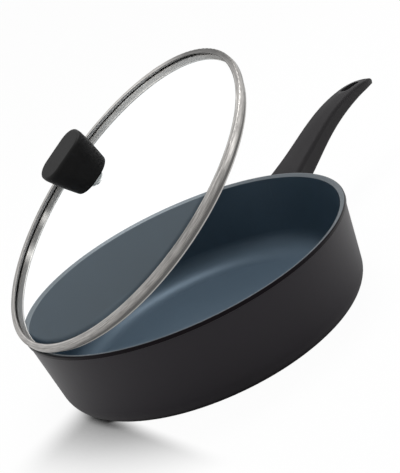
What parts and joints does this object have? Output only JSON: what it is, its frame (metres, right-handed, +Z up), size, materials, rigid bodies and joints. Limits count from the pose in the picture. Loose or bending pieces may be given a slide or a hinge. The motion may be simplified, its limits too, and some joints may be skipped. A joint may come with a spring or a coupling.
{
  "type": "saute pan with lid",
  "caption": "Deep round saute pan with a long moulded handle and a domed glass lid in a steel band, shown tipped open on the rim, with a flared moulded knob.",
  "frame": {"origin": "centre of the pan's underside, on the surface it stands on", "axes": "+Z up, +X out along the handle, +Y completes the frame"},
  "size_m": [0.4722, 0.2833, 0.2118],
  "materials": {
    "pan_body": "dark matte coating outside, blue-grey ceramic coating inside",
    "base_disc": "circular brushed, perforated",
    "handle_bracket": "satin",
    "handle_grip": "satin moulded",
    "handle_screw": "plated",
    "handle_washer": "plated",
    "lid_band": "satin rolled",
    "lid_glass": "clear tempered",
    "lid_knob": "satin moulded",
    "knob_insert": "machined",
    "knob_gasket": "soft matte",
    "glass_grommet": "milky soft silicone",
    "knob_washer": "satin pressed",
    "knob_screw": "plated"
  },
  "bodies": {
    "pan": {"pan_body": "pan_body", "base_disc": "base_disc", "handle_bracket": "handle_bracket", "handle_grip": "handle_grip", "handle_screw": "handle_screw", "handle_washer": "handle_washer"},
    "lid": {"lid_band": "lid_band", "lid_glass": "lid_glass", "lid_knob": "lid_knob", "knob_insert": "knob_insert", "knob_gasket": "knob_gasket", "glass_grommet": "glass_grommet", "knob_washer": "knob_washer", "knob_screw": "knob_screw"}
  },
  "joints": [
    {"name": "lid_tilt", "type": "hinge", "parent": "pan", "child": "lid", "pos_m": [-0.12996, 0.05923, 0.0658], "axis": [-0.4147, -0.91, 0], "range_deg": [-29.17, 50]}
  ]
}
